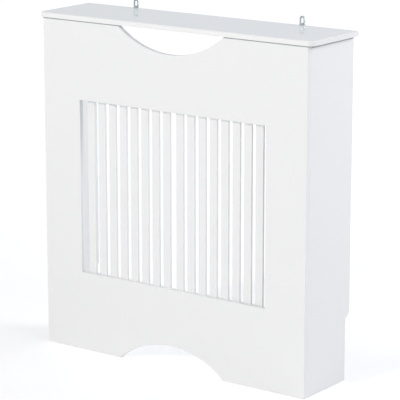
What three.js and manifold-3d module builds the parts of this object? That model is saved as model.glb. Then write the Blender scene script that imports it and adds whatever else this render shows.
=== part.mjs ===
// Radiator cover cabinet: a shelf, a front panel with a slatted window, and two side panels,
// held together by dowels and cam locks, and hung on the wall by two bent steel plates.
//
// Millimetres. X runs across the front, +Y points to the wall and Z is up. The origin is on the
// floor, in the middle of the cabinet's width and depth.

import * as THREE from "three";
import { mergeVertices } from "three/addons/utils/BufferGeometryUtils.js";
import Module from "manifold-3d";

const wasm = await Module();
wasm.setup();

// ---------------------------------------------------------------------------------------------
// Driving sizes
// ---------------------------------------------------------------------------------------------

// The body is what stands under the shelf. The shelf reaches over its front and both its sides.
const bodyWidth = 756;
const bodyHeight = 808;
const shelfDepth = 190;
const shelfSideOverhang = 12;
const shelfFrontOverhang = 3;

// The boards. An arris is the small rounding routed along an edge.
const shelfThickness = 12;
const frontThickness = 12;
const sideThickness = 12;
const shelfCornerRadius = 18;
const shelfArris = 2.5;
const frontArris = 2.5;

// The window in the front panel: what is left beside, below and above it
const windowSideMargin = 110.5;
const windowSill = 195;
const windowHeader = 190;

// The scoop in the panel's top edge and the arch in its bottom edge are cut to one template.
const arcChord = 304;
const arcDepth = 56;

// The grille is two units of slats, a left one and a right one. The middle gap parts the units,
// and the end gaps part them from the window's sides. The overlap is how far each slat runs past
// the window, behind the panel.
const slatWidth = 21;
const slatThickness = 6;
const slatGap = 11;
const middleGap = 17;
const endGap = 14;
const slatOverlap = 28;
const slatArris = 0.8;

// The rails join the slats of a unit from behind, out of sight above and below the window.
const railThickness = 12;
const railHeight = 20;
const railSetBack = 5;

// The notch in the side panels that clears the room's skirting board
const skirtingDepth = 16;
const skirtingHeight = 148;
const skirtingShoulder = 14;

// The hanger plates: steel strap bent to an L, with a slot for a wall screw in the upright leg
const hangerInset = 138;
const hangerRise = 21.5;
const strapWidth = 15;
const strapThickness = 1.5;
const strapBendRadius = 1.5;
const strapFoot = 34;
const slotWidth = 6.5;
const slotLength = 12.5;
const slotBelowTop = 4.4;

// Cam locks. The setback is from a joint's face to the cam's axis.
const camDiameter = 15;
const camSetback = 24;
const camSkin = 2.5;
const camCapThickness = 2.2;
const camPocketDiameter = 10;
const camChannelSweep = 100;
const camRecessSpan = 9;
const frontCamInset = 92;
const shelfCamInset = 42;

// The cam bolts. The head gap is from the head's end to the cam's axis.
const boltThreadDiameter = 5;
const boltShankDiameter = 6;
const boltNeckDiameter = 3.6;
const boltHeadDiameter = 6.2;
const boltHeadLength = 2;
const boltHeadGap = 1.5;
const boltBoreDiameter = 8;

// Dowels
const dowelDiameter = 6;
const dowelLength = 28;

// Countersunk screws in the rails
const railScrewDiameter = 3.5;
const railScrewHead = 7;
const railRecessSpan = 4;

// Pan-headed screws in the hanger plates
const hangerScrewDiameter = 3.5;
const hangerScrewHead = 6.4;
const hangerScrewHeadHeight = 2.2;
const hangerScrewPitch = 16;
const hangerRecessSpan = 3.2;

// The crossed slots in every head
const recessWidth = 1;
const recessDepth = 1.2;

// Clearances: beside a piece in its bore, past its end, and the board left under a blind bore
const fitGap = 0.3;
const endPlay = 0.5;
const blindSkin = 3;

// The chamfer on the end of a bolt or dowel, and how far a cutter starts outside what it cuts
const leadIn = 1;
const overrun = 1;

// How finely curves are cut
const roundSides = 20;
const smallSides = 16;
const templateSegments = 24;
const slotSegments = 8;
const bendSegments = 5;
const arrisSegments = 2;
const domeSteps = 3;

// ---------------------------------------------------------------------------------------------
// Places worked out from the sizes
// ---------------------------------------------------------------------------------------------

const wallY = shelfDepth / 2;
const frontY = shelfFrontOverhang - shelfDepth / 2;
const panelBackY = frontY + frontThickness;
const slatBackY = panelBackY + slatThickness;
const railBackY = slatBackY + railThickness;
const strapFrontY = wallY - strapThickness;
const sideInnerX = bodyWidth / 2 - sideThickness;
const sideMiddleX = bodyWidth / 2 - sideThickness / 2;
const sideMiddleY = (panelBackY + wallY) / 2;
const shelfTopZ = bodyHeight + shelfThickness;
const strapTopZ = shelfTopZ + hangerRise;
const strapUnderZ = bodyHeight - strapThickness;
const windowTop = bodyHeight - windowHeader;
const windowWidth = bodyWidth - 2 * windowSideMargin;

// A unit takes the whole number of slats that comes nearest to the wanted gap.
const unitWidth = (windowWidth - middleGap) / 2 - endGap;
const slatsPerUnit = Math.max(2, Math.round((unitWidth + slatGap) / (slatWidth + slatGap)));
const slatPitch = (unitWidth - slatWidth) / (slatsPerUnit - 1);

const toRight = new THREE.Vector3(1, 0, 0);
const toWall = new THREE.Vector3(0, 1, 0);
const toRoom = new THREE.Vector3(0, -1, 0);
const toTop = new THREE.Vector3(0, 0, 1);
const toFloor = new THREE.Vector3(0, 0, -1);

const quarterTurn = Math.PI / 2;

const sides = [
  { name: "left", sign: -1 },
  { name: "right", sign: 1 },
];
const units = [
  { name: "left", lowX: -middleGap / 2 - unitWidth },
  { name: "right", lowX: middleGap / 2 },
];
const railRows = [
  { name: "lower", lowZ: windowSill - railSetBack - railHeight },
  { name: "upper", lowZ: windowTop + railSetBack },
];
const hangers = sides.map((side) => ({
  name: side.name,
  x: side.sign * (bodyWidth / 2 - hangerInset),
}));

// ---------------------------------------------------------------------------------------------
// Materials
// ---------------------------------------------------------------------------------------------

const satinWhite = new THREE.MeshStandardMaterial({ color: 0xefefef, roughness: 0.38 });
const glossWhite = new THREE.MeshStandardMaterial({ color: 0xeceef0, roughness: 0.22 });
const beech = new THREE.MeshStandardMaterial({ color: 0xd2ac78, roughness: 0.7 });
const zincPlate = new THREE.MeshStandardMaterial({ color: 0x9aa3a6, roughness: 0.35, metalness: 1 });
const castZinc = new THREE.MeshStandardMaterial({ color: 0xa3a6a8, roughness: 0.55, metalness: 1 });

// ---------------------------------------------------------------------------------------------
// Solids
// ---------------------------------------------------------------------------------------------

function solidOf(geometry) {
  const bare = geometry.clone();
  bare.deleteAttribute("normal");
  bare.deleteAttribute("uv");
  const merged = mergeVertices(bare);
  const mesh = new wasm.Mesh({
    numProp: 3,
    vertProperties: Float32Array.from(merged.attributes.position.array),
    triVerts: Uint32Array.from(merged.index.array),
  });
  return new wasm.Manifold(mesh);
}

function geometryOf(solid) {
  const mesh = solid.getMesh();
  const geometry = new THREE.BufferGeometry();
  geometry.setAttribute("position", new THREE.BufferAttribute(mesh.vertProperties, 3));
  geometry.setIndex(new THREE.BufferAttribute(mesh.triVerts, 1));
  geometry.computeVertexNormals();
  return geometry;
}

function extruded(shape, depth, curveSegments) {
  return new THREE.ExtrudeGeometry(shape, { depth, bevelEnabled: false, curveSegments });
}

// Turns a geometry so that its own x, y and z run along the three directions, and then moves it.
function placed(geometry, directions, origin) {
  const turn = new THREE.Matrix4().makeBasis(...directions);
  return geometry.applyMatrix4(turn.setPosition(...origin));
}

// An outline in x and z, as seen from the room, carried from one y to a higher one
function frontOutline(shape, lowY, highY, curveSegments) {
  const geometry = extruded(shape, highY - lowY, curveSegments);
  return solidOf(placed(geometry, [toRight, toTop, toRoom], [0, highY, 0]));
}

// An outline in y and z, as seen from the right, carried from one x to a higher one
function sideOutline(shape, lowX, highX, curveSegments) {
  const geometry = extruded(shape, highX - lowX, curveSegments);
  return solidOf(placed(geometry, [toWall, toTop, toRight], [lowX, 0, 0]));
}

// An outline in x and y, as seen from above, carried from one z to a higher one
function planOutline(shape, lowZ, highZ, curveSegments) {
  return solidOf(extruded(shape, highZ - lowZ, curveSegments).translate(0, 0, lowZ));
}

function block(low, high) {
  const size = high.map((value, axis) => value - low[axis]);
  const middle = high.map((value, axis) => (value + low[axis]) / 2);
  return solidOf(new THREE.BoxGeometry(...size).translate(...middle));
}

// Turns what was made along +y to a direction, and moves its foot to a point.
function stood(geometry, foot, direction) {
  const turn = new THREE.Quaternion().setFromUnitVectors(new THREE.Vector3(0, 1, 0), direction);
  return geometry.applyQuaternion(turn).translate(foot.x, foot.y, foot.z);
}

// A turned piece. Each point of the profile is a radius and a distance along the axis.
function turned(profile, foot, direction, sidesRound = smallSides) {
  const points = profile.map(([radius, distance]) => new THREE.Vector2(radius, distance));
  return solidOf(stood(new THREE.LatheGeometry(points, sidesRound), foot, direction));
}

// A round bar, or the bore that is cut with one
function bar(diameter, foot, direction, length, sidesRound = smallSides) {
  const radius = diameter / 2;
  return turned([[0, 0], [radius, 0], [radius, length], [0, length]], foot, direction, sidesRound);
}

function cutAll(solid, cutters) {
  return cutters.reduce((rest, cutter) => rest.subtract(cutter), solid);
}

// Two crossed slots for a screwdriver, cut into a head at a point and along a direction
function crossRecess(at, into, span) {
  const slot = new THREE.BoxGeometry(span, 2 * recessDepth, recessWidth);
  const crossSlot = slot.clone().rotateY(quarterTurn);
  return solidOf(stood(slot, at, into)).add(solidOf(stood(crossSlot, at, into)));
}

// ---------------------------------------------------------------------------------------------
// Outlines
// ---------------------------------------------------------------------------------------------

function polygon(points) {
  return new THREE.Shape(points.map(([a, b]) => new THREE.Vector2(a, b)));
}

function rectangle(lowA, lowB, highA, highB) {
  return polygon([[lowA, lowB], [highA, lowB], [highA, highB], [lowA, highB]]);
}

// A board seen from above, square at the wall, with two rounded corners towards the room
function roundFrontedPlan(halfWidth, roomY, rearY, radius) {
  const shape = new THREE.Shape();
  shape.moveTo(-halfWidth, rearY);
  shape.lineTo(-halfWidth, roomY + radius);
  shape.absarc(radius - halfWidth, roomY + radius, radius, Math.PI, 3 * quarterTurn, false);
  shape.lineTo(halfWidth - radius, roomY);
  shape.absarc(halfWidth - radius, roomY + radius, radius, -quarterTurn, 0, false);
  shape.lineTo(halfWidth, rearY);
  shape.closePath();
  return shape;
}

// ---------------------------------------------------------------------------------------------
// The joints between the boards: cam locks, cam bolts and dowels
// ---------------------------------------------------------------------------------------------

// A joint has the point where its bolt or dowel crosses from board to board, the way from there
// into the side panel, and the thickness of the other board.
function frontJoint(name, side, z) {
  const at = new THREE.Vector3(side.sign * sideMiddleX, panelBackY, z);
  return { name, side, at, into: toWall, board: frontThickness };
}

function shelfJoint(name, side, y) {
  const at = new THREE.Vector3(side.sign * sideMiddleX, y, bodyHeight);
  return { name, side, at, into: toFloor, board: shelfThickness };
}

const camJoints = sides.flatMap((side) => [
  frontJoint("front_lower", side, frontCamInset),
  frontJoint("front_upper", side, bodyHeight - frontCamInset),
  shelfJoint("shelf_front", side, panelBackY + shelfCamInset),
  shelfJoint("shelf_rear", side, wallY - shelfCamInset),
]);
const dowelJoints = sides.flatMap((side) => [
  frontJoint("front", side, bodyHeight / 2),
  shelfJoint("shelf", side, sideMiddleY),
]);

// A point on the joint's axis, so far into the side panel, or back into the other board
function pointAlong(joint, distance) {
  return joint.at.clone().addScaledVector(joint.into, distance);
}

function blindDepth(joint) {
  return joint.board - blindSkin;
}

function camBolt(joint) {
  const threadStart = endPlay - blindDepth(joint);
  const neckStart = camSetback - camDiameter / 2 - endPlay;
  const headEnd = camSetback - boltHeadGap;
  const headStart = headEnd - boltHeadLength;
  const thread = boltThreadDiameter / 2;
  const shank = boltShankDiameter / 2;
  const neck = boltNeckDiameter / 2;
  const head = boltHeadDiameter / 2;
  const profile = [
    [0, threadStart],
    [thread - leadIn, threadStart],
    [thread, threadStart + leadIn],
    [thread, 0],
    [shank, 0],
    [shank, neckStart - leadIn],
    [neck, neckStart],
    [neck, headStart],
    [head, headStart],
    [head, headEnd - fitGap],
    [head - fitGap, headEnd],
    [0, headEnd],
  ];
  return turned(profile, joint.at, joint.into);
}

// The bolt passes through the side panel's edge, and its thread goes into the other board.
function boltShankBore(joint) {
  const length = camSetback + overrun;
  return bar(boltBoreDiameter, pointAlong(joint, -overrun), joint.into, length);
}

function boltThreadBore(joint) {
  const diameter = boltThreadDiameter + 2 * fitGap;
  const depth = blindDepth(joint);
  return bar(diameter, pointAlong(joint, -depth), joint.into, depth + overrun);
}

// A cam at the origin, cap up, with its bolt coming in along +x. The pocket below the cap holds the
// bolt's head. The channel lets the neck pass through the wall as the cam turns, and ends in a mouth
// that is wide enough for the head.
function camLock() {
  const origin = new THREE.Vector3(0, 0, 0);
  const depth = sideThickness - camSkin - fitGap;
  const boltZ = -sideThickness / 2;
  const body = bar(camDiameter - 2 * fitGap, origin, toFloor, depth, roundSides);
  const underCap = new THREE.Vector3(0, 0, -camCapThickness);
  const pocket = bar(camPocketDiameter, underCap, toFloor, depth, roundSides);

  const neckReach = boltNeckDiameter / 2 + fitGap;
  const startAngle = Math.PI - Math.asin((2 * neckReach) / camPocketDiameter);
  const mouthAngle = startAngle + THREE.MathUtils.degToRad(camChannelSweep);
  const sector = new THREE.Shape();
  sector.moveTo(0, 0);
  sector.lineTo(camDiameter * Math.cos(startAngle), camDiameter * Math.sin(startAngle));
  sector.absarc(0, 0, camDiameter, startAngle, mouthAngle, false);
  sector.closePath();
  const channel = planOutline(sector, boltZ - neckReach, boltZ + neckReach, slotSegments);

  const mouthFoot = new THREE.Vector3(0, 0, boltZ);
  const mouthWay = new THREE.Vector3(Math.cos(mouthAngle), Math.sin(mouthAngle), 0);
  const mouth = bar(boltHeadDiameter + 2 * fitGap, mouthFoot, mouthWay, camDiameter);
  return cutAll(body, [pocket, channel, mouth, crossRecess(origin, toFloor, camRecessSpan)]);
}

// The cam's axis crosses the side panel, and its cap is flush with the panel's inner face.
function camPlace(joint) {
  const inwards = new THREE.Vector3(-joint.side.sign, 0, 0);
  const across = new THREE.Vector3().crossVectors(inwards, joint.into);
  const cap = pointAlong(joint, camSetback).setX(joint.side.sign * sideInnerX);
  return new THREE.Matrix4().makeBasis(joint.into, across, inwards).setPosition(cap);
}

function camBore(joint) {
  const outwards = new THREE.Vector3(joint.side.sign, 0, 0);
  const foot = pointAlong(joint, camSetback).setX(joint.side.sign * (sideInnerX - overrun));
  const depth = sideThickness - camSkin + overrun;
  return bar(camDiameter, foot, outwards, depth, roundSides);
}

function dowel(joint) {
  const radius = dowelDiameter / 2;
  const start = endPlay - blindDepth(joint);
  const end = start + dowelLength;
  const profile = [
    [0, start],
    [radius - leadIn, start],
    [radius, start + leadIn],
    [radius, end - leadIn],
    [radius - leadIn, end],
    [0, end],
  ];
  return turned(profile, joint.at, joint.into);
}

function dowelBore(joint) {
  const diameter = dowelDiameter + 2 * fitGap;
  const length = dowelLength + 2 * endPlay;
  return bar(diameter, pointAlong(joint, -blindDepth(joint)), joint.into, length);
}

// ---------------------------------------------------------------------------------------------
// The grille: slats, rails and their screws
// ---------------------------------------------------------------------------------------------

function slat(lowX) {
  const highX = lowX + slatWidth;
  const radius = slatArris;
  const shape = new THREE.Shape();
  shape.moveTo(lowX + radius, panelBackY);
  shape.lineTo(highX - radius, panelBackY);
  shape.absarc(highX - radius, panelBackY + radius, radius, -quarterTurn, 0, false);
  shape.absarc(highX - radius, slatBackY - radius, radius, 0, quarterTurn, false);
  shape.absarc(lowX + radius, slatBackY - radius, radius, quarterTurn, Math.PI, false);
  shape.absarc(lowX + radius, panelBackY + radius, radius, Math.PI, 3 * quarterTurn, false);
  return planOutline(shape, windowSill - slatOverlap, windowTop + slatOverlap, arrisSegments);
}

// Each rail has two screws, one in its first and one in its last space between slats, so that they
// pass beside the slats.
const railScrewPlaces = railRows.flatMap((row) =>
  units.flatMap((unit) => {
    const firstGapMiddle = (slatWidth + slatPitch) / 2;
    const z = row.lowZ + railHeight / 2;
    const xs = { left: unit.lowX + firstGapMiddle, right: unit.lowX + unitWidth - firstGapMiddle };
    return Object.entries(xs).map(([end, x]) => ({
      row,
      unit,
      end,
      at: new THREE.Vector3(x, railBackY, z),
    }));
  })
);

const countersinkDepth = (railScrewHead - railScrewDiameter) / 2;

function railScrew(place) {
  const shank = railScrewDiameter / 2;
  const length = railBackY - frontY - blindSkin - endPlay;
  const profile = [
    [0, 0],
    [railScrewHead / 2, 0],
    [shank, countersinkDepth],
    [shank, length - railScrewDiameter],
    [0, length],
  ];
  const blank = turned(profile, place.at, toRoom);
  return blank.subtract(crossRecess(place.at, toRoom, railRecessSpan));
}

function railScrewHole(place) {
  const hole = railScrewDiameter / 2 + fitGap;
  const mouth = hole + countersinkDepth;
  const profile = [
    [0, -overrun],
    [mouth, -overrun],
    [mouth, 0],
    [hole, countersinkDepth],
    [hole, railThickness + overrun],
    [0, railThickness + overrun],
  ];
  return turned(profile, place.at, toRoom);
}

function railScrewPilot(place) {
  const foot = place.at.clone().setY(panelBackY + overrun);
  const length = frontThickness - blindSkin + overrun;
  return bar(railScrewDiameter + 2 * fitGap, foot, toRoom, length);
}

function rail(unit, row) {
  const low = [unit.lowX, slatBackY, row.lowZ];
  const high = [unit.lowX + unitWidth, railBackY, row.lowZ + railHeight];
  const own = railScrewPlaces.filter((place) => place.unit === unit && place.row === row);
  return cutAll(block(low, high), own.map(railScrewHole));
}

// ---------------------------------------------------------------------------------------------
// The hanger plates and their screws
// ---------------------------------------------------------------------------------------------

// The strap seen from the right: a foot under the shelf, a bend, and a leg that rises behind it
function strapOutline() {
  const outerRadius = strapBendRadius + strapThickness;
  const bendY = wallY - outerRadius;
  const bendZ = strapUnderZ + outerRadius;
  const shape = new THREE.Shape();
  shape.moveTo(wallY - strapFoot, strapUnderZ);
  shape.lineTo(bendY, strapUnderZ);
  shape.absarc(bendY, bendZ, outerRadius, -quarterTurn, 0, false);
  shape.lineTo(wallY, strapTopZ);
  shape.lineTo(strapFrontY, strapTopZ);
  shape.lineTo(strapFrontY, bendZ);
  shape.absarc(bendY, bendZ, strapBendRadius, 0, -quarterTurn, true);
  shape.lineTo(wallY - strapFoot, bodyHeight);
  shape.closePath();
  return shape;
}

// The strap seen from the room: its round top, and the slot for the wall screw
function strapFace(x) {
  const half = strapWidth / 2;
  const shape = new THREE.Shape();
  shape.moveTo(x - half, strapUnderZ - overrun);
  shape.lineTo(x + half, strapUnderZ - overrun);
  shape.lineTo(x + half, strapTopZ - half);
  shape.absarc(x, strapTopZ - half, half, 0, Math.PI, false);
  shape.closePath();
  const slotRadius = slotWidth / 2;
  const slotHighZ = strapTopZ - slotBelowTop - slotRadius;
  const slotLowZ = slotHighZ - slotLength + slotWidth;
  const slot = new THREE.Path();
  slot.absarc(x, slotHighZ, slotRadius, 0, Math.PI, false);
  slot.absarc(x, slotLowZ, slotRadius, Math.PI, 2 * Math.PI, false);
  slot.closePath();
  shape.holes.push(slot);
  return shape;
}

// Two screws in a row along the strap's foot, the rear one just clear of the bend
function hangerScrewPlaces(hanger) {
  const rearY = strapFrontY - strapBendRadius - hangerScrewHead;
  return [
    { name: "front", at: new THREE.Vector3(hanger.x, rearY - hangerScrewPitch, strapUnderZ) },
    { name: "rear", at: new THREE.Vector3(hanger.x, rearY, strapUnderZ) },
  ];
}

function hangerScrewBore(place, length) {
  const foot = place.at.clone().setZ(strapUnderZ - overrun);
  return bar(hangerScrewDiameter + 2 * fitGap, foot, toTop, length + overrun);
}

function hangerPlate(hanger) {
  const half = strapWidth / 2;
  const bent = sideOutline(strapOutline(), hanger.x - half, hanger.x + half, bendSegments);
  const frontEnd = wallY - strapFoot - overrun;
  const face = frontOutline(strapFace(hanger.x), frontEnd, wallY + overrun, slotSegments);
  const throughStrap = strapThickness + overrun;
  const holes = hangerScrewPlaces(hanger).map((place) => hangerScrewBore(place, throughStrap));
  return cutAll(bent.intersect(face), holes);
}

// The head's profile below the strap is a quarter of an ellipse.
function hangerScrew(place) {
  const head = hangerScrewHead / 2;
  const shank = hangerScrewDiameter / 2;
  const end = strapThickness + shelfThickness - blindSkin - endPlay;
  const dome = Array.from({ length: domeSteps }, (_, step) => {
    const angle = (quarterTurn * (step + 1)) / domeSteps;
    return [head * Math.sin(angle), -hangerScrewHeadHeight * Math.cos(angle)];
  });
  const profile = [
    [0, -hangerScrewHeadHeight],
    ...dome,
    [shank, 0],
    [shank, end - hangerScrewDiameter],
    [0, end],
  ];
  const headTop = place.at.clone().setZ(strapUnderZ - hangerScrewHeadHeight);
  const blank = turned(profile, place.at, toTop);
  return blank.subtract(crossRecess(headTop, toTop, hangerRecessSpan));
}

// ---------------------------------------------------------------------------------------------
// The boards
// ---------------------------------------------------------------------------------------------

// The template's circle passes through both ends of the chord and the deepest point of the arc.
function frontPanelOutline() {
  const halfWidth = bodyWidth / 2;
  const halfChord = arcChord / 2;
  const radius = (halfChord * halfChord + arcDepth * arcDepth) / (2 * arcDepth);
  const rise = Math.atan2(radius - arcDepth, halfChord);
  const archZ = arcDepth - radius;
  const scoopZ = bodyHeight - arcDepth + radius;
  const shape = new THREE.Shape();
  shape.moveTo(-halfWidth, 0);
  shape.lineTo(-halfChord, 0);
  shape.absarc(0, archZ, radius, Math.PI - rise, rise, true);
  shape.lineTo(halfWidth, 0);
  shape.lineTo(halfWidth, bodyHeight);
  shape.lineTo(halfChord, bodyHeight);
  shape.absarc(0, scoopZ, radius, -rise, rise - Math.PI, true);
  shape.lineTo(-halfWidth, bodyHeight);
  shape.closePath();
  shape.holes.push(rectangle(-windowWidth / 2, windowSill, windowWidth / 2, windowTop));
  return shape;
}

function frontPanel() {
  const board = frontOutline(frontPanelOutline(), frontY, panelBackY, templateSegments);
  const plan = roundFrontedPlan(bodyWidth / 2, frontY, panelBackY, frontArris);
  const rounded = board.intersect(planOutline(plan, -overrun, shelfTopZ, arrisSegments));
  return cutAll(rounded, [
    ...camJoints.filter((joint) => joint.into === toWall).map(boltThreadBore),
    ...dowelJoints.filter((joint) => joint.into === toWall).map(dowelBore),
    ...railScrewPlaces.map(railScrewPilot),
  ]);
}

function sidePanel(side) {
  const notchY = wallY - skirtingDepth;
  const shape = polygon([
    [panelBackY, 0],
    [notchY, 0],
    [notchY, skirtingHeight],
    [wallY, skirtingHeight + skirtingShoulder],
    [wallY, bodyHeight],
    [panelBackY, bodyHeight],
  ]);
  const lowX = side.sign * sideMiddleX - sideThickness / 2;
  const board = sideOutline(shape, lowX, lowX + sideThickness, 1);
  const ownCams = camJoints.filter((joint) => joint.side === side);
  const ownDowels = dowelJoints.filter((joint) => joint.side === side);
  return cutAll(board, [
    ...ownCams.map(camBore),
    ...ownCams.map(boltShankBore),
    ...ownDowels.map(dowelBore),
  ]);
}

// The shelf's arris runs round its front and its ends. The rear edge is cut square, with a notch
// behind each hanger plate's bend.
function topShelf() {
  const halfWidth = bodyWidth / 2 + shelfSideOverhang;
  const plan = roundFrontedPlan(halfWidth, -wallY, wallY + 2 * shelfArris, shelfCornerRadius);
  const rounded = new THREE.ExtrudeGeometry(plan, {
    depth: shelfThickness - 2 * shelfArris,
    bevelEnabled: true,
    bevelThickness: shelfArris,
    bevelSize: shelfArris,
    bevelOffset: -shelfArris,
    bevelSegments: 2 * arrisSegments,
    curveSegments: bendSegments,
  });
  const blank = solidOf(rounded.translate(0, 0, bodyHeight + shelfArris));
  const square = block([-halfWidth, -wallY, bodyHeight], [halfWidth, wallY, shelfTopZ]);
  const notches = hangers.map((hanger) => {
    const half = strapWidth / 2 + fitGap;
    const low = [hanger.x - half, strapFrontY - strapBendRadius, bodyHeight - overrun];
    const high = [hanger.x + half, wallY + overrun, shelfTopZ + overrun];
    return block(low, high);
  });
  const pilotLength = strapThickness + shelfThickness - blindSkin;
  const pilots = hangers
    .flatMap(hangerScrewPlaces)
    .map((place) => hangerScrewBore(place, pilotLength));
  return cutAll(blank.intersect(square), [
    ...notches,
    ...pilots,
    ...camJoints.filter((joint) => joint.into === toFloor).map(boltThreadBore),
    ...dowelJoints.filter((joint) => joint.into === toFloor).map(dowelBore),
  ]);
}

// ---------------------------------------------------------------------------------------------
// The assembly
// ---------------------------------------------------------------------------------------------

const cabinet = new THREE.Group();

function addPiece(name, solid, material) {
  const mesh = new THREE.Mesh(geometryOf(solid), material);
  mesh.name = name;
  cabinet.add(mesh);
  return mesh;
}

addPiece("top_shelf", topShelf(), glossWhite);
addPiece("front_panel", frontPanel(), satinWhite);
for (const side of sides) {
  addPiece(`${side.name}_side_panel`, sidePanel(side), satinWhite);
}

units.forEach((unit, unitIndex) => {
  for (let index = 0; index < slatsPerUnit; index += 1) {
    const number = String(unitIndex * slatsPerUnit + index + 1).padStart(2, "0");
    addPiece(`slat_${number}`, slat(unit.lowX + index * slatPitch), satinWhite);
  }
});
for (const row of railRows) {
  for (const unit of units) {
    addPiece(`${row.name}_rail_${unit.name}`, rail(unit, row), satinWhite);
  }
}
for (const place of railScrewPlaces) {
  const name = `rail_screw_${place.row.name}_${place.unit.name}_unit_${place.end}`;
  addPiece(name, railScrew(place), zincPlate);
}

for (const joint of camJoints) {
  const where = `${joint.side.name}_${joint.name}`;
  addPiece(`cam_bolt_${where}`, camBolt(joint), zincPlate);
  addPiece(`cam_lock_${where}`, camLock(), castZinc).applyMatrix4(camPlace(joint));
}
for (const joint of dowelJoints) {
  addPiece(`dowel_${joint.side.name}_${joint.name}`, dowel(joint), beech);
}

for (const hanger of hangers) {
  addPiece(`hanger_plate_${hanger.name}`, hangerPlate(hanger), zincPlate);
  for (const place of hangerScrewPlaces(hanger)) {
    addPiece(`hanger_screw_${hanger.name}_${place.name}`, hangerScrew(place), zincPlate);
  }
}

export default cabinet;
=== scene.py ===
# %% [markdown]
# # A radiator cover cabinet, from frame to finish
#
# The cabinet is flat-pack furniture: a shelf, a front panel with a window full of upright slats,
# and two side panels, all cut from 12 mm fibreboard and painted white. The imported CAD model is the
# frame. It holds every piece at its real size and place. This script gives each board its sanded
# arrises and its paint, and then sets the cabinet in plain studio light.

# %% Load the frame
import math

import bmesh
import bpy
import numpy as np
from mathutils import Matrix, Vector
from mathutils.geometry import tessellate_polygon


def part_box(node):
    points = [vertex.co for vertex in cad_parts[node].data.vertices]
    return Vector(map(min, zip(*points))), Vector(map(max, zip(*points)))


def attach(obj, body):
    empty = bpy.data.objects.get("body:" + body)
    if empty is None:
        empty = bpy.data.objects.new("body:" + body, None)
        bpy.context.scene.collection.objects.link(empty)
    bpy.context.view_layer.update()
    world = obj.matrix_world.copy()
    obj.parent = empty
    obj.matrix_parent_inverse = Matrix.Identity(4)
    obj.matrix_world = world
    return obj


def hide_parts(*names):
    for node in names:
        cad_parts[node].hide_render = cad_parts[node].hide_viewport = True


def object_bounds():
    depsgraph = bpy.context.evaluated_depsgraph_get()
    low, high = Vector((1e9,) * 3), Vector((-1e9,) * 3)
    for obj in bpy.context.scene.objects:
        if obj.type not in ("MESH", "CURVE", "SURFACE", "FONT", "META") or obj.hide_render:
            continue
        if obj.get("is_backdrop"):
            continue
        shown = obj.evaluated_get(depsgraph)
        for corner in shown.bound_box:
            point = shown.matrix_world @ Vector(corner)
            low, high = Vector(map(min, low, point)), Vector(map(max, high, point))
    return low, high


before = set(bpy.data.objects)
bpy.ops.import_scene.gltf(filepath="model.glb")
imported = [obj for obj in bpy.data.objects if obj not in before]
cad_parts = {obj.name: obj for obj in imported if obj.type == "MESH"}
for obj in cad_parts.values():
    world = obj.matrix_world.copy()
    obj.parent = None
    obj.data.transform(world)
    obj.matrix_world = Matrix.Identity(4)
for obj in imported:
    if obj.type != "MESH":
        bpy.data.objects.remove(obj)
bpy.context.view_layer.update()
print("pieces in the frame:", len(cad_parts))

# %% [markdown]
# ## The camera
#
# The view is from the right and a little above, with a long lens, so that upright edges stay
# almost parallel. Aiming the camera by its turn and tilt, and not at a target, keeps the horizon
# level. The floor lies at height zero, and the lens is given for a square picture.

# %% Camera
CAMERA_PLACE = Vector((2.798, -3.808, 1.518))
CAMERA_TURN = math.radians(36.12)
CAMERA_TILT = math.radians(13.38)
CAMERA_LENS = 185.1
SENSOR_WIDTH = 36
CAMERA_REACH = 100

camera_data = bpy.data.cameras.new("camera")
camera_data.lens = CAMERA_LENS
camera_data.sensor_width = SENSOR_WIDTH
camera_data.clip_end = CAMERA_REACH
camera = bpy.data.objects.new("camera", camera_data)
camera.location = CAMERA_PLACE
camera.rotation_euler = (math.pi / 2 - CAMERA_TILT, 0, CAMERA_TURN)
bpy.context.scene.collection.objects.link(camera)
bpy.context.scene.camera = camera

# %% [markdown]
# ## Node helpers
#
# Every finish is a small graph of nodes. It could be drawn by hand in the shader editor, but a
# graph that is written down can be read and changed. A few helpers keep it short. They all feed a
# node's inputs in the same way: a plain value is set, and another node's output is linked.

# %% Node helpers
MIX_FACTOR, MIX_FIRST, MIX_SECOND, MIX_COLOUR = 0, 6, 7, 2


def feed(tree, socket, value):
    """Links an input to the value if that is a node's output, and sets the input to it if not."""
    if isinstance(value, bpy.types.NodeSocket):
        tree.links.new(value, socket)
    else:
        socket.default_value = value


def add_node(tree, kind, settings=None, **inputs):
    """Adds a node, sets its properties, and feeds the inputs that are named."""
    node = tree.nodes.new(kind)
    for key, value in (settings or {}).items():
        setattr(node, key, value)
    for key, value in inputs.items():
        feed(tree, node.inputs[key.replace("_", " ")], value)
    return node


def math_node(tree, operation, first, second):
    """One sum of two values, each a number or a node's output."""
    node = add_node(tree, "ShaderNodeMath", {"operation": operation})
    feed(tree, node.inputs[0], first)
    feed(tree, node.inputs[1], second)
    return node.outputs[0]


def noise(tree, place, scale, detail):
    """Cloudy values from 0 to 1, with about one lump in each 1/scale metres."""
    node = add_node(tree, "ShaderNodeTexNoise", Vector=place, Scale=scale, Detail=detail)
    return node.outputs["Fac"]


def smooth_step(tree, value, start, full, low=0.0, high=1.0):
    """Goes from low to high by a smooth step, as the value goes from start to full."""
    step = add_node(
        tree,
        "ShaderNodeMapRange",
        {"interpolation_type": "SMOOTHSTEP"},
        Value=value,
        From_Min=start,
        From_Max=full,
        To_Min=low,
        To_Max=high,
    )
    return step.outputs["Result"]


def blend_colour(tree, factor, first, second):
    """A colour between two, nearer the second as the factor goes to 1.

    A Mix node has sockets of the same name for numbers and for colours, so these go by number.
    """
    node = add_node(tree, "ShaderNodeMix", {"data_type": "RGBA"})
    feed(tree, node.inputs[MIX_FACTOR], factor)
    feed(tree, node.inputs[MIX_FIRST], first)
    feed(tree, node.inputs[MIX_SECOND], second)
    return node.outputs[MIX_COLOUR]

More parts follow.
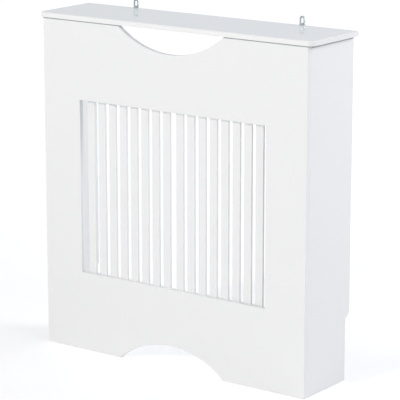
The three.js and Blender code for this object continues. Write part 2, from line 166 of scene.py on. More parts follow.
# %% [markdown]
# What more than one material uses, such as the paint's peel, is a node group. It takes named
# inputs and gives named outputs, like a function. Each finish reads the place on the object, so
# its lumps keep their real size on a small piece and on a large one.

# %% Group and material helpers
def open_group(name, inputs, outputs):
    """Starts a shader node group. Each input and output is a pair of a name and a kind."""
    tree = bpy.data.node_groups.new(name, "ShaderNodeTree")
    for way, sockets in (("INPUT", inputs), ("OUTPUT", outputs)):
        for label, kind in sockets:
            tree.interface.new_socket(label, in_out=way, socket_type="NodeSocket" + kind)
    entry = tree.nodes.new("NodeGroupInput")
    exit_ = tree.nodes.new("NodeGroupOutput")
    return tree, entry.outputs, exit_.inputs


def open_material(name):
    """Starts a material: it, its tree, its shader's inputs, and the place on the object."""
    material = bpy.data.materials.new(name)
    material.use_nodes = True
    tree = material.node_tree
    place = tree.nodes.new("ShaderNodeTexCoord").outputs["Object"]
    return material, tree, tree.nodes["Principled BSDF"].inputs, place

# %% [markdown]
# ## The paint
#
# Sprayed paint on fibreboard is never quite flat. It dries with a fine peel, lumps a few
# millimetres wide and a few hundredths high, and its gloss drifts a little over a board. A cut edge
# drinks more paint than a pressed face, so it dries duller and coarser. An image of real paint
# would do too, but noise needs no image and never repeats. One group makes all of these, and each
# material sets its own amounts.

# %% Paint group
PEEL_SCALE = 260.0
STIPPLE_SCALE = 4 * PEEL_SCALE
HAND_SCALE = 9.0
DRIFT = 0.03
DRIFT_GREY = (0.62, 0.64, 0.66, 1)


def build_paint_film():
    """Colour, roughness and height of a coat of paint.

    Height is two noises added, the peel and a finer stipple. Colour and roughness drift with a
    third noise, whose lumps are as wide as a hand.
    """
    tree, given, result = open_group(
        "paint_film",
        [("Place", "Vector"), ("Colour", "Color"), ("Roughness", "Float"), ("Stipple", "Float")],
        [("Colour", "Color"), ("Roughness", "Float"), ("Height", "Float")],
    )
    cloud = noise(tree, given["Place"], HAND_SCALE, detail=2.0)
    peel = noise(tree, given["Place"], PEEL_SCALE, detail=1.0)
    fine = noise(tree, given["Place"], STIPPLE_SCALE, detail=2.0)
    shade = math_node(tree, "MULTIPLY", cloud, DRIFT)
    feed(tree, result["Colour"], blend_colour(tree, shade, given["Colour"], DRIFT_GREY))
    centred = math_node(tree, "SUBTRACT", cloud, 0.5)
    drift = math_node(tree, "MULTIPLY", centred, DRIFT)
    feed(tree, result["Roughness"], math_node(tree, "ADD", given["Roughness"], drift))
    stipple = math_node(tree, "MULTIPLY", fine, given["Stipple"])
    feed(tree, result["Height"], math_node(tree, "ADD", peel, stipple))
    return tree


paint_film = build_paint_film()
print("paint group:", len(paint_film.nodes), "nodes")

# %% [markdown]
# Just under the shelf, each panel gets a thin darker band painted into its colour. It is painted
# shade, for the shadow of the shelf's overhang, which soft light alone draws too faintly. It is a
# band of height: none of it at one height, and all of it a millimetre or more further up. On the
# side panels it reaches lower, because the shelf overhangs them further.

# %% Painted shade group
# The grey of the painted shade under the shelf.
PAINTED_SHADE_GREY = (0.36, 0.37, 0.37, 1)


def build_painted_shade_band():
    """A colour, darkened by painted shade as height goes from Start to Full by a smooth step."""
    tree, given, result = open_group(
        "painted_shade_band",
        [("Place", "Vector"), ("Colour", "Color"), ("Start", "Float"), ("Full", "Float")],
        [("Colour", "Color")],
    )
    height = add_node(tree, "ShaderNodeSeparateXYZ", Vector=given["Place"]).outputs["Z"]
    band = smooth_step(tree, height, given["Start"], given["Full"])
    feed(tree, result["Colour"], blend_colour(tree, band, given["Colour"], PAINTED_SHADE_GREY))
    return tree


painted_shade_band = build_painted_shade_band()
print("joint group:", len(painted_shade_band.nodes), "nodes")

# %% [markdown]
# A painted material places the film, and the band of painted shade where the piece has one, and
# links them to the shader. The film's height goes through a Bump node, which only tilts the light.
# Moving the surface itself would need far finer meshes, for lumps that are thinner than a hair.

# %% Painted materials
PEEL_HEIGHT = 0.00006


def painted(name, colour, roughness, stipple, bump, joint=None):
    """White paint with its own gloss, stipple and bump, and a band of painted shade under the shelf
    where a joint is given.
    """
    material, tree, shader, place = open_material(name)
    film = add_node(
        tree,
        "ShaderNodeGroup",
        {"node_tree": paint_film},
        Place=place,
        Colour=colour,
        Roughness=roughness,
        Stipple=stipple,
    ).outputs
    bumped = add_node(
        tree, "ShaderNodeBump", Strength=bump, Distance=PEEL_HEIGHT, Height=film["Height"]
    )
    paint = film["Colour"]
    # The band of painted shade under the shelf darkens the paint's colour, where the piece has one.
    if joint:
        line = add_node(
            tree, "ShaderNodeGroup", {"node_tree": painted_shade_band}, Place=place, Colour=paint, **joint
        )
        paint = line.outputs["Colour"]
    feed(tree, shader["Base Color"], paint)
    feed(tree, shader["Roughness"], film["Roughness"])
    feed(tree, shader["Normal"], bumped.outputs["Normal"])
    return material


def below_shelf(start, full):
    """The two heights of the band of painted shade, from how far each lies under the shelf."""
    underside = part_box("top_shelf")[0].z
    return {"Start": underside - start, "Full": underside - full}

# %% [markdown]
# The panels and slats are satin, and the shelf is glossier. The shelf's faces are painted a cooler
# and darker white than its edges: painted shade, for the weaker and bluer light from above. A gloss
# coat is seen at a flat angle here, where it would mirror the white studio strongly. So the shelf's
# coat gets a low index of refraction, which makes its mirror weak.

# %% Paints
FRONT_WHITE = (0.87, 0.87, 0.87, 1)
# The shelf's faces: the shelf paint darkened and cooled as painted shade, for weaker light from
# above.
SHELF_WHITE_PAINTED_SHADE = (0.765, 0.785, 0.81, 1)
SHELF_EDGE_WHITE = (0.88, 0.88, 0.87, 1)
SATIN = {"colour": FRONT_WHITE, "roughness": 0.42, "stipple": 0.3, "bump": 0.35}
SATIN_EDGE = {"colour": FRONT_WHITE, "roughness": 0.55, "stipple": 0.8, "bump": 0.35}
GLOSS = {"colour": SHELF_WHITE_PAINTED_SHADE, "roughness": 0.05, "stipple": 0.1, "bump": 0.06}
GLOSS_EDGE = {"colour": SHELF_EDGE_WHITE, "roughness": 0.2, "stipple": 0.3, "bump": 0.2}
WEAK_MIRROR = 1.1

# Bands of painted shade under the shelf; on the side panels they reach further down.
front_shade_band = below_shelf(start=0.0033, full=0.0019)
side_shade_band = below_shelf(start=0.0080, full=0.0042)
face_paint = painted("satin_white_face", **SATIN)
edge_paint = painted("satin_white_cut_edge", **SATIN_EDGE)
front_face_paint = painted("satin_white_front", **SATIN, joint=front_shade_band)
front_edge_paint = painted("satin_white_front_edge", **SATIN_EDGE, joint=front_shade_band)
side_face_paint = painted("satin_white_side", **SATIN, joint=side_shade_band)
shelf_paint = painted("gloss_white_shelf", **GLOSS)
shelf_paint.node_tree.nodes["Principled BSDF"].inputs["IOR"].default_value = WEAK_MIRROR
shelf_edge_paint = painted("gloss_white_shelf_edge", **GLOSS_EDGE)
print("paints:", face_paint.name, edge_paint.name, shelf_paint.name)

# %% [markdown]
# ## The metals and the dowels
#
# The hanger plates, screws and bolts are steel with a thin coat of zinc, which is grey with a
# cloudy, faintly blue and yellow bloom. The cams are cast, so they are duller and grainier. Plain
# grey metal would look like plastic at this size, because it is the uneven gloss that tells the
# eye it is zinc. So one group clouds the colour and the gloss together.

# %% Metal group
CLOUD_SCALE = 160.0
GLOSS_SPREAD = 0.2
GRAIN_HEIGHT = 0.0001


def build_zinc_bloom():
    """Colour, roughness and height of a zinc surface.

    One noise blends the colour into the bloom. A finer one is the height, and a fifth of it is
    added to the roughness.
    """
    tree, given, result = open_group(
        "zinc_bloom",
        [
            ("Place", "Vector"),
            ("Colour", "Color"),
            ("Bloom", "Color"),
            ("Roughness", "Float"),
            ("Grain Scale", "Float"),
        ],
        [("Colour", "Color"), ("Roughness", "Float"), ("Height", "Float")],
    )
    cloud = noise(tree, given["Place"], CLOUD_SCALE, detail=3.0)
    grain = noise(tree, given["Place"], given["Grain Scale"], detail=2.0)
    feed(tree, result["Colour"], blend_colour(tree, cloud, given["Colour"], given["Bloom"]))
    spread = math_node(tree, "MULTIPLY", grain, GLOSS_SPREAD)
    feed(tree, result["Roughness"], math_node(tree, "ADD", given["Roughness"], spread))
    feed(tree, result["Height"], grain)
    return tree


zinc_bloom = build_zinc_bloom()
print("metal group:", len(zinc_bloom.nodes), "nodes")

# %% Metal materials
def zinced(name, colour, bloom, roughness, grain_scale, bump):
    """A zinc-coated or cast metal, with its own bloom, gloss and grain."""
    material, tree, shader, place = open_material(name)
    coat = add_node(
        tree,
        "ShaderNodeGroup",
        {"node_tree": zinc_bloom},
        Place=place,
        Colour=(*colour, 1),
        Bloom=(*bloom, 1),
        Roughness=roughness,
        Grain_Scale=grain_scale,
    ).outputs
    bumped = add_node(
        tree, "ShaderNodeBump", Strength=bump, Distance=GRAIN_HEIGHT, Height=coat["Height"]
    )
    feed(tree, shader["Metallic"], 1.0)
    feed(tree, shader["Base Color"], coat["Colour"])
    feed(tree, shader["Roughness"], coat["Roughness"])
    feed(tree, shader["Normal"], bumped.outputs["Normal"])
    return material


hanger_steel = zinced(
    "hanger_zinc",
    colour=(0.42, 0.47, 0.48),
    bloom=(0.32, 0.37, 0.38),
    roughness=0.30,
    grain_scale=900.0,
    bump=0.15,
)
screw_steel = zinced(
    "screw_zinc",
    colour=(0.62, 0.64, 0.64),
    bloom=(0.50, 0.52, 0.50),
    roughness=0.25,
    grain_scale=1200.0,
    bump=0.1,
)
cast_metal = zinced(
    "cast_cam_zinc",
    colour=(0.52, 0.53, 0.54),
    bloom=(0.42, 0.43, 0.44),
    roughness=0.45,
    grain_scale=1500.0,
    bump=0.5,
)
print("metals:", hanger_steel.name, screw_steel.name, cast_metal.name)

# %% [markdown]
# The dowels are turned beech, and they only show while the cabinet is in pieces. A noise whose
# place is squeezed along one axis has its lumps drawn out into streaks, so one Mapping node makes
# grain of a cloud. The streaks run from front to back on all four dowels, which is along the two
# in the front joints. The two under the shelf stand upright, and a mapping of their own was left
# out because they are never in sight.

# %% Beech
STREAK_SCALE = 700.0
STREAK_SQUEEZE = (1, 0.08, 1)
BEECH_DARK = (0.62, 0.43, 0.25, 1)
BEECH_LIGHT = (0.78, 0.60, 0.40, 1)
BEECH_ROUGHNESS = 0.65
BEECH_BUMP = 0.4


def build_beech():
    """Turned beech: a noise drawn out along the depth blends a dark brown into a light one."""
    material, tree, shader, place = open_material("turned_beech")
    along = add_node(tree, "ShaderNodeMapping", Vector=place, Scale=STREAK_SQUEEZE)
    streak = noise(tree, along.outputs["Vector"], STREAK_SCALE, detail=3.0)
    bumped = add_node(
        tree, "ShaderNodeBump", Strength=BEECH_BUMP, Distance=GRAIN_HEIGHT, Height=streak
    )
    feed(tree, shader["Base Color"], blend_colour(tree, streak, BEECH_DARK, BEECH_LIGHT))
    feed(tree, shader["Roughness"], BEECH_ROUGHNESS)
    feed(tree, shader["Normal"], bumped.outputs["Normal"])
    return material


beech = build_beech()
print("wood:", beech.name)

# %% [markdown]
# ## Boards
#
# A board is a closed outline carried through a thickness. What makes it look like a real one is its
# arris: the edge is never sharp, because it is sanded or routed before it is painted. So the
# outline is carried along a rounded profile. Each ring of the edge is the outline moved inwards by
# the profile's inset, at the profile's height, and the faces close the first and last rings.
#
# A loop is an array with a row for each corner: two places in the board's plane, and the arris
# radius there. The outline runs anticlockwise, and an opening clockwise, so that the board always
# lies on the left.

# %% Outline helpers
ARRIS_STEPS = 4
SANDED = 0.0006


def loop_of(points, arris):
    """Points in the plane, with an arris radius added to each."""
    points = np.asarray(points, float)
    return np.column_stack([points, np.full(len(points), arris)])


def arc(centre, radius, start, end, steps):
    """Points on a circle: centre + radius * (cos, sin), as the angle goes from start to end."""
    angle = np.linspace(start, end, steps + 1)
    return np.column_stack([np.cos(angle), np.sin(angle)]) * radius + np.asarray(centre)


def rectangle(low, high, arris, clockwise=False):
    """A rectangle from its low corner to its high corner."""
    corners = [(low[0], low[1]), (high[0], low[1]), (high[0], high[1]), (low[0], high[1])]
    return loop_of(corners[::-1] if clockwise else corners, arris)


def inset(loop, distance):
    """The loop moved to its left, so that it lies a distance from both edges at each corner.

    With unit normals n and m of the two edges, the move is (n + m) / (1 + n.m) times the distance.
    """
    points = loop[:, :2]
    ahead = np.roll(points, -1, axis=0) - points
    ahead /= np.linalg.norm(ahead, axis=1, keepdims=True)
    normal = np.column_stack([-ahead[:, 1], ahead[:, 0]])
    normal_behind = np.roll(normal, 1, axis=0)
    facing = (normal * normal_behind).sum(axis=1, keepdims=True)
    return points + (normal + normal_behind) / (1 + facing) * distance[:, None]


def edge_rings(loop, thickness, shares):
    """The rings of a board's edge, from its low face to its high face, as (ring, corner, 3).

    Each arris is a quarter circle: inset r * (1 - sin u), height r * (1 - cos u). The shares scale
    the arris radius on the low and on the high face.
    """
    turn = np.linspace(0, math.pi / 2, ARRIS_STEPS + 1)
    low_radius, high_radius = (loop[:, 2] * share for share in shares)
    rings = []
    for radius, base, way, turns in (
        (low_radius, 0.0, 1, turn),
        (high_radius, thickness, -1, turn[::-1]),
    ):
        for u in turns:
            height = base + way * radius * (1 - math.cos(u))
            rings.append(np.column_stack([inset(loop, radius * (1 - math.sin(u))), height]))
    return np.array(rings)

# %% [markdown]
# A bore is the same idea turned round an axis: rings of a circle, each with its own radius and
# depth, from the rim on the board's high face down to a flat bottom. It takes the drilled seats of
# the cams, and the countersunk holes in the rails.

# %% Rings and faces
BORE_SIDES = 40
SLIVER = 1e-14


def bore_rings(centre, profile, thickness):
    """Rings of a blind bore: a circle for each (radius, depth), clockwise, from the rim down."""
    angle = -np.arange(BORE_SIDES) * 2 * math.pi / BORE_SIDES
    circle = np.column_stack([np.cos(angle), np.sin(angle)])
    return np.array(
        [
            np.column_stack([circle * radius + centre, np.full(BORE_SIDES, thickness - depth)])
            for radius, depth in profile
        ]
    )


def ring_faces(first, rings, corners):
    """Quads between neighbouring rings of a closed band, as rows of vertex numbers."""
    ring, corner = np.meshgrid(np.arange(rings - 1), np.arange(corners), indexing="ij")
    following = (corner + 1) % corners
    quads = [ring * corners + corner, ring * corners + following]
    quads += [(ring + 1) * corners + following, (ring + 1) * corners + corner]
    return first + np.stack(quads, axis=-1).reshape(-1, 4)


def cap_faces(points, numbers, upward):
    """Triangles that fill a face with openings. The points are the face's loops, outline first.

    The area of a triangle is half the cross product of two of its sides. Its sign tells which way
    the triangle faces, and slivers without an area are left out.
    """
    loops = [[Vector((a, b, 0)) for a, b in loop] for loop in points]
    flat = np.concatenate(points)
    triangles = np.array(tessellate_polygon(loops))
    one, two, three = (flat[triangles[:, k]] for k in range(3))
    twice_area = np.cross(two - one, three - one)
    full = np.abs(twice_area) > SLIVER
    triangles = triangles[full]
    wrong = (twice_area[full] > 0) != upward
    triangles[wrong] = triangles[wrong][:, ::-1]
    return np.concatenate(numbers)[triangles]

# %% [markdown]
# Smooth shading lets an arris catch the light in one soft line, but it would also bend the light
# across each whole board. Flat shading would show every step of the arris. Weighted normals give
# both: the large flat faces decide, and only the arris turns. A drill leaves a crisp rim, so the
# bores' rings are marked as sharp.

# %% Smooth pieces
FACE_WEIGHT = 100


def sharpen(mesh, rings):
    """Marks the edges that lie within one ring as sharp.

    Each ring's vertices get the ring's number, and all others a zero. An edge lies within a ring
    if both its ends hold the same number, and that number isn't zero.
    """
    member = np.zeros(len(mesh.vertices), int)
    for number, ring in enumerate(rings, start=1):
        member[ring] = number
    ends = np.empty(len(mesh.edges) * 2, np.int32)
    mesh.edges.foreach_get("vertices", ends)
    one, two = member[ends.reshape(-1, 2)].T
    crisp = mesh.attributes.new("sharp_edge", "BOOLEAN", "EDGE")
    crisp.data.foreach_set("value", (one == two) & (one > 0))


def smooth_piece(name, points, faces, kinds, bored):
    """A smooth mesh object. The kinds are its faces' slots, and the bored rings stay sharp."""
    mesh = bpy.data.meshes.new(name)
    mesh.from_pydata(points, [], faces)
    mesh.polygons.foreach_set("material_index", kinds)
    mesh.polygons.foreach_set("use_smooth", [True] * len(faces))
    sharpen(mesh, bored)
    piece = bpy.data.objects.new(name, mesh)
    bpy.context.scene.collection.objects.link(piece)
    normals = piece.modifiers.new("flat_faces_first", "WEIGHTED_NORMAL")
    normals.mode = "FACE_AREA"
    normals.weight = FACE_WEIGHT
    normals.keep_sharp = True
    return piece

# %% [markdown]
# The board builder puts these together. It numbers the rings' vertices as it goes, joins them with
# quads, and fills both faces with triangles round their openings. Blender's own Bevel could round
# the arrises too, but it would need a weight on every edge to keep the bores' rims crisp and to
# give the outer corners a wider arris than a cut edge.

# %% Board builder
FACE, EDGE = 0, 1


def board(name, loops, thickness, directions, origin, shares=(1, 1), bores=()):
    """A board as a mesh object: edges, two faces, and blind bores in its high face.

    A corner (a, b) at height t goes to the origin plus a, b and t times the three directions.
    """
    points, faces, kinds = [], [], []
    low_face, high_face = ([], []), ([], [])
    bored = []
    count = 0

    def add(rings):
        """Adds a closed band of rings, and gives the numbers of its vertices."""
        nonlocal count
        first = count
        points.append(rings.reshape(-1, 3))
        faces.extend(ring_faces(first, len(rings), rings.shape[1]).tolist())
        kinds.extend([EDGE] * (len(faces) - len(kinds)))
        count += rings.shape[0] * rings.shape[1]
        return np.arange(first, count).reshape(rings.shape[:2])

    for loop in loops:
        rings = edge_rings(loop, thickness, shares)
        numbers = add(rings)
        low_face[0].append(rings[0, :, :2])
        low_face[1].append(numbers[0])
        high_face[0].append(rings[-1, :, :2])
        high_face[1].append(numbers[-1])
    for centre, profile in bores:
        rings = bore_rings(centre, profile, thickness)
        numbers = add(rings[::-1])
        high_face[0].append(rings[0, :, :2])
        high_face[1].append(numbers[-1])
        faces.append(numbers[0][::-1].tolist())
        kinds.append(EDGE)
        bored.extend(numbers)
    for face, upward in ((low_face, False), (high_face, True)):
        faces.extend(cap_faces(*face, upward).tolist())
        kinds.extend([FACE] * (len(faces) - len(kinds)))

    directions = np.asarray(directions, float)
    if np.linalg.det(directions) < 0:
        faces = [face[::-1] for face in faces]
    placed = np.concatenate(points) @ directions + origin
    return smooth_piece(name, placed, faces, kinds, bored)

# %% [markdown]
# Once a board is made, it is dressed: it gets a paint for its faces and one for its cut edges, and
# it takes the place of its CAD node. The four directions say which way a board faces in the room.

# %% Dressing
RIGHT, WALL, ROOM, UP = (1, 0, 0), (0, 1, 0), (0, -1, 0), (0, 0, 1)


def dress(piece, node, face, edge):
    """Paints a piece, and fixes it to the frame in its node's place."""
    piece.data.materials.append(face)
    piece.data.materials.append(edge)
    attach(piece, "root")
    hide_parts(node)

# %% [markdown]
# ## The front panel
#
# The panel's window shows the slats. A scoop in its top edge lets warm air out under the shelf, and
# an arch in its bottom edge draws cool air in. Both are cut to one template: a circle through the
# ends of the chord and the deepest point, so its radius is (half chord squared + depth squared)
# over twice the depth. They could be cut out with Boolean modifiers, but an outline that already
# has the arcs gives a cleaner edge to carry the arris. The outer corners are routed to a wider
# arris than the cut edges, and at the back, which stays out of sight, the arris is small.

# %% Front panel
ARC_CHORD = 0.304
ARC_DEPTH = 0.056
WINDOW_SIDE = 0.1105
WINDOW_SILL = 0.195
WINDOW_HEADER = 0.190
ROUTED = 0.0025
CUT_ARRIS = 0.0015
ROUTED_END = 0.004
BACK_SHARE = 0.3
ARC_STEPS = 64

panel_low, panel_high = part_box("front_panel")
panel_thickness = panel_high.y - panel_low.y


def front_outline():
    """The panel's outline: straight sides, the arch below and the scoop above."""
    half = panel_high.x
    top = panel_high.z
    half_chord = ARC_CHORD / 2
    radius = (half_chord**2 + ARC_DEPTH**2) / (2 * ARC_DEPTH)
    rise = math.atan2(radius - ARC_DEPTH, half_chord)
    arch = arc((0, ARC_DEPTH - radius), radius, math.pi - rise, rise, ARC_STEPS)
    scoop = arc((0, top - ARC_DEPTH + radius), radius, -rise, rise - math.pi, ARC_STEPS)
    return np.concatenate(
        [
            loop_of([(-half, 0)], ROUTED),
            loop_of([(-half + ROUTED_END, 0)], CUT_ARRIS),
            loop_of(arch, CUT_ARRIS),
            loop_of([(half - ROUTED_END, 0)], CUT_ARRIS),
            loop_of([(half, 0), (half, top), (half_chord + ROUTED_END, top)], ROUTED),
            loop_of(scoop, CUT_ARRIS),
            loop_of([(-half_chord - ROUTED_END, top), (-half, top)], ROUTED),
        ]
    )


window = rectangle(
    (panel_low.x + WINDOW_SIDE, WINDOW_SILL),
    (panel_high.x - WINDOW_SIDE, panel_high.z - WINDOW_HEADER),
    CUT_ARRIS,
    clockwise=True,
)
front = board(
    "front_panel_painted",
    [front_outline(), window],
    panel_thickness,
    (RIGHT, UP, ROOM),
    (0, panel_high.y, 0),
    shares=(BACK_SHARE, 1),
)
dress(front, "front_panel", front_face_paint, front_edge_paint)
print("front panel:", len(front.data.polygons), "faces")

# %% [markdown]
# ## The shelf
#
# The shelf reaches a little past the panels below it. Its two front corners are rounded, and its
# arris is routed along the front and both ends, wide above and narrow below. At the wall it is
# sawn square, with a small notch for each hanger plate. The outline is worked out from the frame,
# so that the notches lie where the plates are.

# %% Shelf
CORNER_RADIUS = 0.018
CORNER_STEPS = 16
UNDERSIDE_SHARE = 0.2
NOTCH_DEPTH = 0.003
NOTCH_PLAY = 0.0003

shelf_low, shelf_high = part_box("top_shelf")


def shelf_outline():
    """The shelf from above: round corners to the room, and square to the wall, with notches."""
    left, right = shelf_low.x, shelf_high.x
    room, wall = shelf_low.y, shelf_high.y
    bend = room + CORNER_RADIUS
    centre_left, centre_right = (left + CORNER_RADIUS, bend), (right - CORNER_RADIUS, bend)
    quarter = math.pi / 2
    round_left = arc(centre_left, CORNER_RADIUS, 2 * quarter, 3 * quarter, CORNER_STEPS)
    round_right = arc(centre_right, CORNER_RADIUS, -quarter, 0, CORNER_STEPS)
    routed = np.concatenate([[(left, wall)], round_left, round_right, [(right, wall)]])
    sawn = [(right - ROUTED_END, wall)]
    notched = wall - NOTCH_DEPTH
    for side in ("right", "left"):
        low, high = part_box("hanger_plate_" + side)
        near, far = high.x + NOTCH_PLAY, low.x - NOTCH_PLAY
        sawn += [(near, wall), (near, notched), (far, notched), (far, wall)]
    sawn.append((left + ROUTED_END, wall))
    return np.concatenate([loop_of(routed, ROUTED), loop_of(sawn, SANDED / 2)])


shelf = board(
    "top_shelf_painted",
    [shelf_outline()],
    shelf_high.z - shelf_low.z,
    (RIGHT, WALL, UP),
    (0, 0, shelf_low.z),
    shares=(UNDERSIDE_SHARE, 1),
)
dress(shelf, "top_shelf", shelf_paint, shelf_edge_paint)
print("shelf:", len(shelf.data.polygons), "faces")

# %% [markdown]
# ## The side panels
#
# The side panels stand on the floor behind the front panel. The notch at the foot of each clears
# the skirting board of the room, so that the cabinet can stand close to the wall. The cams' bores
# are drilled in the inner face, and each takes its size and place from its cam. A dark disc would
# pass for a bore from far off, but a real one has a wall that catches the light round the cam.

# %% Side panels
SKIRTING_DEPTH = 0.016
SKIRTING_HEIGHT = 0.148
SKIRTING_SHOULDER = 0.014
CAM_PLAY = 0.0003
CAM_JOINTS = ("front_lower", "front_upper", "shelf_front", "shelf_rear")


def side_outline(low, high):
    """The side panel from the right: a rectangle, less the notch for the skirting board."""
    notch = high.y - SKIRTING_DEPTH
    return [
        (low.y, low.z),
        (notch, low.z),
        (notch, SKIRTING_HEIGHT),
        (high.y, SKIRTING_HEIGHT + SKIRTING_SHOULDER),
        (high.y, high.z),
        (low.y, high.z),
    ]


def cam_bore(name):
    """Where a cam's bore lies on the panel's face, and its profile."""
    low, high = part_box(name)
    radius = (high.y - low.y) / 2 + CAM_PLAY
    depth = high.x - low.x + CAM_PLAY
    centre = ((low.y + high.y) / 2, (low.z + high.z) / 2)
    return centre, [(radius, 0), (radius, depth)]


for side, inwards in (("left", 1), ("right", -1)):
    low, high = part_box(side + "_side_panel")
    outer = low.x if inwards > 0 else high.x
    panel = board(
        side + "_side_panel_painted",
        [loop_of(side_outline(low, high), SANDED)],
        high.x - low.x,
        (WALL, UP, (inwards, 0, 0)),
        (outer, 0, 0),
        bores=[cam_bore(f"cam_lock_{side}_{joint}") for joint in CAM_JOINTS],
    )
    dress(panel, side + "_side_panel", side_face_paint, edge_paint)
    print(panel.name, len(panel.data.polygons), "faces")

# %% [markdown]
# ## The grille
#
# Each slat is a thin strip with softly sanded arrises, flat against the panel's back. Rails join
# the slats behind, and countersunk screws hold the rails. The strips and the rails are plain
# rectangles, so their outlines come straight from the frame. An Array modifier could repeat one
# slat, but each slat is a piece of its own that can be taken off, so a loop makes them one by one.

# %% Slats
SLAT_ARRIS = 0.0008

slat_names = sorted(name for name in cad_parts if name.startswith("slat_"))
for name in slat_names:
    low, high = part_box(name)
    strip = board(
        name + "_painted",
        [rectangle((low.x, low.z), (high.x, high.z), SLAT_ARRIS)],
        high.y - low.y,
        (RIGHT, UP, ROOM),
        (0, high.y, 0),
    )
    dress(strip, name, face_paint, edge_paint)
print("slats:", len(slat_names))

# %% Rails
SCREW_PLAY = 0.0003
SHANK_RADIUS = 0.00205
COUNTERSINK = 0.00175
HOLE_DEPTH = 0.008


def screw_hole(name):
    """The hole of a countersunk screw: its mouth, the end of the cone, and the shank's hole."""
    low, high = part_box(name)
    mouth = (high.x - low.x) / 2 + SCREW_PLAY
    centre = ((low.x + high.x) / 2, (low.z + high.z) / 2)
    return centre, [(mouth, 0), (SHANK_RADIUS, COUNTERSINK), (SHANK_RADIUS, HOLE_DEPTH)]


for row in ("lower", "upper"):
    for unit in ("left", "right"):
        name = f"{row}_rail_{unit}"
        low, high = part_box(name)
        screws = [f"rail_screw_{row}_{unit}_unit_{end}" for end in ("left", "right")]
        rail = board(
            name + "_painted",
            [rectangle((low.x, low.z), (high.x, high.z), SANDED)],
            high.y - low.y,
            (RIGHT, UP, WALL),
            (0, low.y, 0),
            bores=[screw_hole(screw) for screw in screws],
        )
        dress(rail, name, face_paint, edge_paint)
        print(rail.name, len(rail.data.polygons), "faces")

# %% [markdown]
# ## The fittings
#
# The hanger plates, screws, cams, bolts and dowels keep the shapes that they have in the frame. A
# CAD node's mesh is loose triangles, so the hanger plate, the only fitting that shows from the
# room, is copied and merged. Then a bevel can break its sheared edges, which catch the light.

# %% Hanger plates
DOUBLED = 1e-6
FLAT = math.radians(1)
SHEARED = 0.0002
SHEARED_STEPS = 2
SHEARED_ANGLE = math.radians(40)


def merged_copy(node, name):
    """A copy of a CAD node with its doubled corners merged and its flat faces joined up."""
    work = bmesh.new()
    work.from_mesh(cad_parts[node].data)
    bmesh.ops.remove_doubles(work, verts=work.verts, dist=DOUBLED)
    bmesh.ops.dissolve_limit(work, angle_limit=FLAT, verts=work.verts, edges=work.edges)
    mesh = bpy.data.meshes.new(name)
    work.to_mesh(mesh)
    work.free()
    mesh.materials.clear()
    mesh.polygons.foreach_set("use_smooth", [True] * len(mesh.polygons))
    piece = bpy.data.objects.new(name, mesh)
    bpy.context.scene.collection.objects.link(piece)
    return piece


for side in ("left", "right"):
    node = "hanger_plate_" + side
    plate = merged_copy(node, node + "_plated")
    bevel = plate.modifiers.new("sheared_edge", "BEVEL")
    bevel.width = SHEARED
    bevel.segments = SHEARED_STEPS
    bevel.limit_method = "ANGLE"
    bevel.angle_limit = SHEARED_ANGLE
    bevel.harden_normals = True
    dress(plate, node, hanger_steel, hanger_steel)
    print(plate.name, len(plate.data.polygons), "faces")

# %% [markdown]
# The other fittings lie inside, where only their faces show. Their CAD meshes are round enough, so
# each only gets its metal, or beech. A fitting is known by how its node's name starts.

# %% Screws, bolts, cams and dowels
FITTINGS = {
    "rail_screw": screw_steel,
    "hanger_screw": screw_steel,
    "cam_bolt": screw_steel,
    "cam_lock": cast_metal,
    "dowel": beech,
}
for name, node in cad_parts.items():
    for start, material in FITTINGS.items():
        if name.startswith(start):
            node.data.materials.clear()
            node.data.materials.append(material)
print("fittings:", sum(name.startswith(tuple(FITTINGS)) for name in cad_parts))

# %% [markdown]
# ## The studio
#
# The cabinet stands on a plain white floor under soft light. The camera sees the floor and the sky
# as white, by Light Path's camera ray, and so do mirrored and refracted rays. The light that falls
# on the cabinet can then stay lower than white. Near the cabinet most of the floor's white is lamp
# light on pale paint, so the cabinet's soft shadow stays. Further off, where the lamps reach less,
# more of it is glow.

# %% Floor
WHITE = (1, 1, 1, 1)
FLOOR_SIZE = 60.0
FLOOR_COLOUR = (0.90, 0.90, 0.90, 1)
GLOW_START, GLOW_FULL = 0.4, 4.5
NEAR_GLOW, FAR_GLOW = 0.26, 0.52


def seen_directly(tree):
    """1 for rays that should find a white background, and 0 for the light that falls on things.

    Those are the camera's rays and the mirrored and refracted ones: the largest of the three.
    """
    path = tree.nodes.new("ShaderNodeLightPath").outputs
    mirrored = math_node(tree, "MAXIMUM", path["Is Glossy Ray"], path["Is Transmission Ray"])
    return math_node(tree, "MAXIMUM", path["Is Camera Ray"], mirrored)


def build_floor_material():
    """A pale diffuse floor, with a glow that only the rays that see it directly find.

    The glow rises with the distance from the cabinet by a smooth step, as the lamps' light falls.
    """
    material = bpy.data.materials.new("studio_floor")
    material.use_nodes = True
    tree = material.node_tree
    tree.nodes.clear()
    place = tree.nodes.new("ShaderNodeTexCoord").outputs["Object"]
    length = add_node(tree, "ShaderNodeVectorMath", {"operation": "LENGTH"}, Vector=place)
    distance = length.outputs["Value"]
    rise = smooth_step(tree, distance, GLOW_START, GLOW_FULL, NEAR_GLOW, FAR_GLOW)
    strength = math_node(tree, "MULTIPLY", rise, seen_directly(tree))
    glow = add_node(tree, "ShaderNodeEmission", Color=WHITE, Strength=strength)
    pale = add_node(tree, "ShaderNodeBsdfDiffuse", Color=FLOOR_COLOUR)
    both = tree.nodes.new("ShaderNodeAddShader")
    tree.links.new(glow.outputs[0], both.inputs[0])
    tree.links.new(pale.outputs[0], both.inputs[1])
    add_node(tree, "ShaderNodeOutputMaterial", Surface=both.outputs[0])
    return material


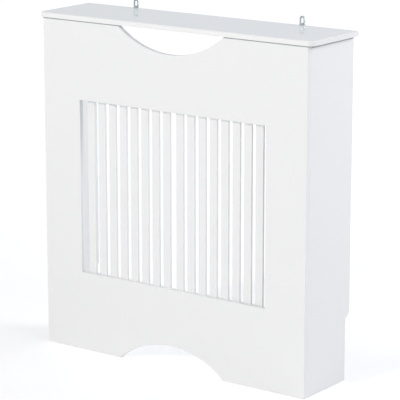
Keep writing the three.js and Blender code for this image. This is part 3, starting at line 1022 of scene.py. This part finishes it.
half = FLOOR_SIZE / 2
floor_mesh = bpy.data.meshes.new("studio_floor")
floor_corners = [(-half, -half, 0), (half, -half, 0), (half, half, 0), (-half, half, 0)]
floor_mesh.from_pydata(floor_corners, [], [(0, 1, 2, 3)])
floor_mesh.materials.append(build_floor_material())
floor = bpy.data.objects.new("studio_floor", floor_mesh)
bpy.context.scene.collection.objects.link(floor)
floor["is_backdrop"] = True
print("floor:", FLOOR_SIZE, "m wide")

# %% Sky
SKY_LIGHT = (0.478, 0.487, 0.512, 1)

world = bpy.data.worlds.new("studio_sky")
bpy.context.scene.world = world
world.use_nodes = True
sky = world.node_tree
sky_colour = blend_colour(sky, seen_directly(sky), SKY_LIGHT, WHITE)
feed(sky, sky.nodes["Background"].inputs["Color"], sky_colour)
print("sky light:", SKY_LIGHT[:3])

# %% [markdown]
# Four soft lamps do the rest. The front lamp is far away and some 25 degrees up, so that it lights
# the whole front evenly, lights the shelf's top much less, and draws the fine shadows under the
# shelf and over the slats. The right lamp grazes the front and lights the right side panel and the
# window's left jamb. The side lamp stands to the right and behind: it does most for the side panel,
# and through the open back it reaches the slats' edges, as a white backdrop would. The rear lamp is
# low and weak. It fills the inside, under the shelf, which otherwise only the sky would light.

# %% Lamps
# Each lamp has a place, a width in metres, a power in watts, and a colour.
LAMPS = {
    "front_lamp": ((-1.6, -8.0, 4.4), 1.4, 320.0, (1.0, 0.985, 0.94)),
    "right_lamp": ((3.9, -0.9, 3.0), 1.0, 18.0, (0.95, 0.97, 1.0)),
    "side_lamp": ((2.8, 2.4, 2.8), 1.6, 56.0, (0.95, 0.97, 1.0)),
    "rear_lamp": ((0.42, 2.3, 0.4), 0.7, 9.0, (1.0, 1.0, 1.0)),
}
LAMPS_AIM = Vector((0, 0, 0.45))

for name, (place, width, power, colour) in LAMPS.items():
    light = bpy.data.lights.new(name, "AREA")
    light.size = width
    light.energy = power
    light.color = colour
    lamp = bpy.data.objects.new(name, light)
    lamp.location = place
    lamp.rotation_euler = (LAMPS_AIM - lamp.location).to_track_quat("-Z", "Y").to_euler()
    bpy.context.scene.collection.objects.link(lamp)
    print(name, "reaches", round((LAMPS_AIM - lamp.location).length, 1), "m")

# %% [markdown]
# ## The sizes
#
# The look must not change the cabinet's size, so the box of the dressed model is worked out.
# The view transform is plain, so that colours render as they are written.

# %% Sizes and finish
bpy.context.scene.view_settings.view_transform = "Standard"
low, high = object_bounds()
